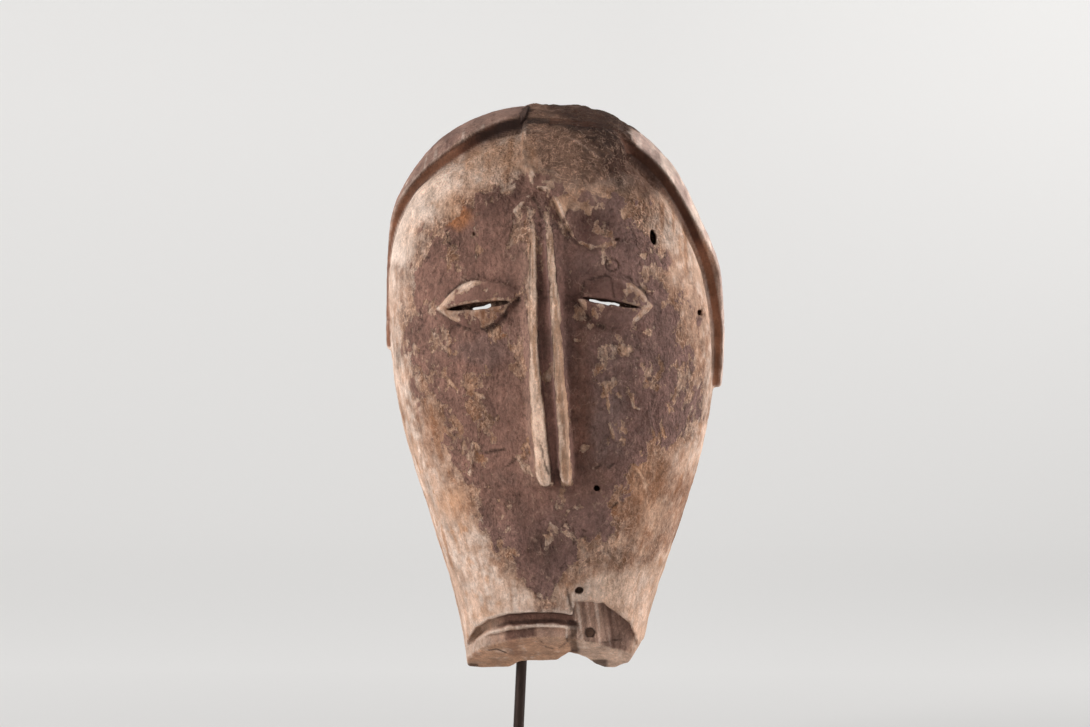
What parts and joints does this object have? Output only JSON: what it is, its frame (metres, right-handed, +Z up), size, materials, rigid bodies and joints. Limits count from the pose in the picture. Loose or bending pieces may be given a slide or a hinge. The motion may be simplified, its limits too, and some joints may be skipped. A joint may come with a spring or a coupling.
{
  "type": "carved wooden mask on a display stand",
  "caption": "Long carved wooden face mask with a ribbed nose, slit eyes and a raised coif, hung on a bent steel post that turns in a flat base.",
  "frame": {"origin": "middle of the felt's underside, where the base stands on a table", "axes": "+Z up, the face looks along -Y, +X to the right of a viewer who faces the mask"},
  "size_m": [0.255, 0.1605, 0.4928],
  "materials": {
    "carved_wood": "dry and worn, with pale clay rubbed into it",
    "peg_wood": "dark end grain",
    "dark_steel": "dark brown satin",
    "soft_sleeve": "matt",
    "base_paint": "off-white satin",
    "felt": "felt"
  },
  "bodies": {
    "base": {"base_block": "base_paint", "base_felt": "felt"},
    "mount": {"post": "dark_steel", "cross_bar": "dark_steel", "crook_sleeve": "soft_sleeve", "chin_sleeve": "soft_sleeve", "rim_cap_left": "soft_sleeve", "rim_cap_right": "soft_sleeve"},
    "mask": {"carved_mask": "carved_wood", "lip_peg": "peg_wood"}
  },
  "joints": [
    {"name": "post_turn", "type": "hinge", "parent": "base", "child": "mount", "pos_m": [0, 0.026, 0.02], "axis": [0, 0, 1], "continuous": true},
    {"name": "mask_lift_off", "type": "slide", "parent": "mount", "child": "mask", "axis": [0, -0.8191, 0.5736], "range_m": [0, 0.2]}
  ]
}
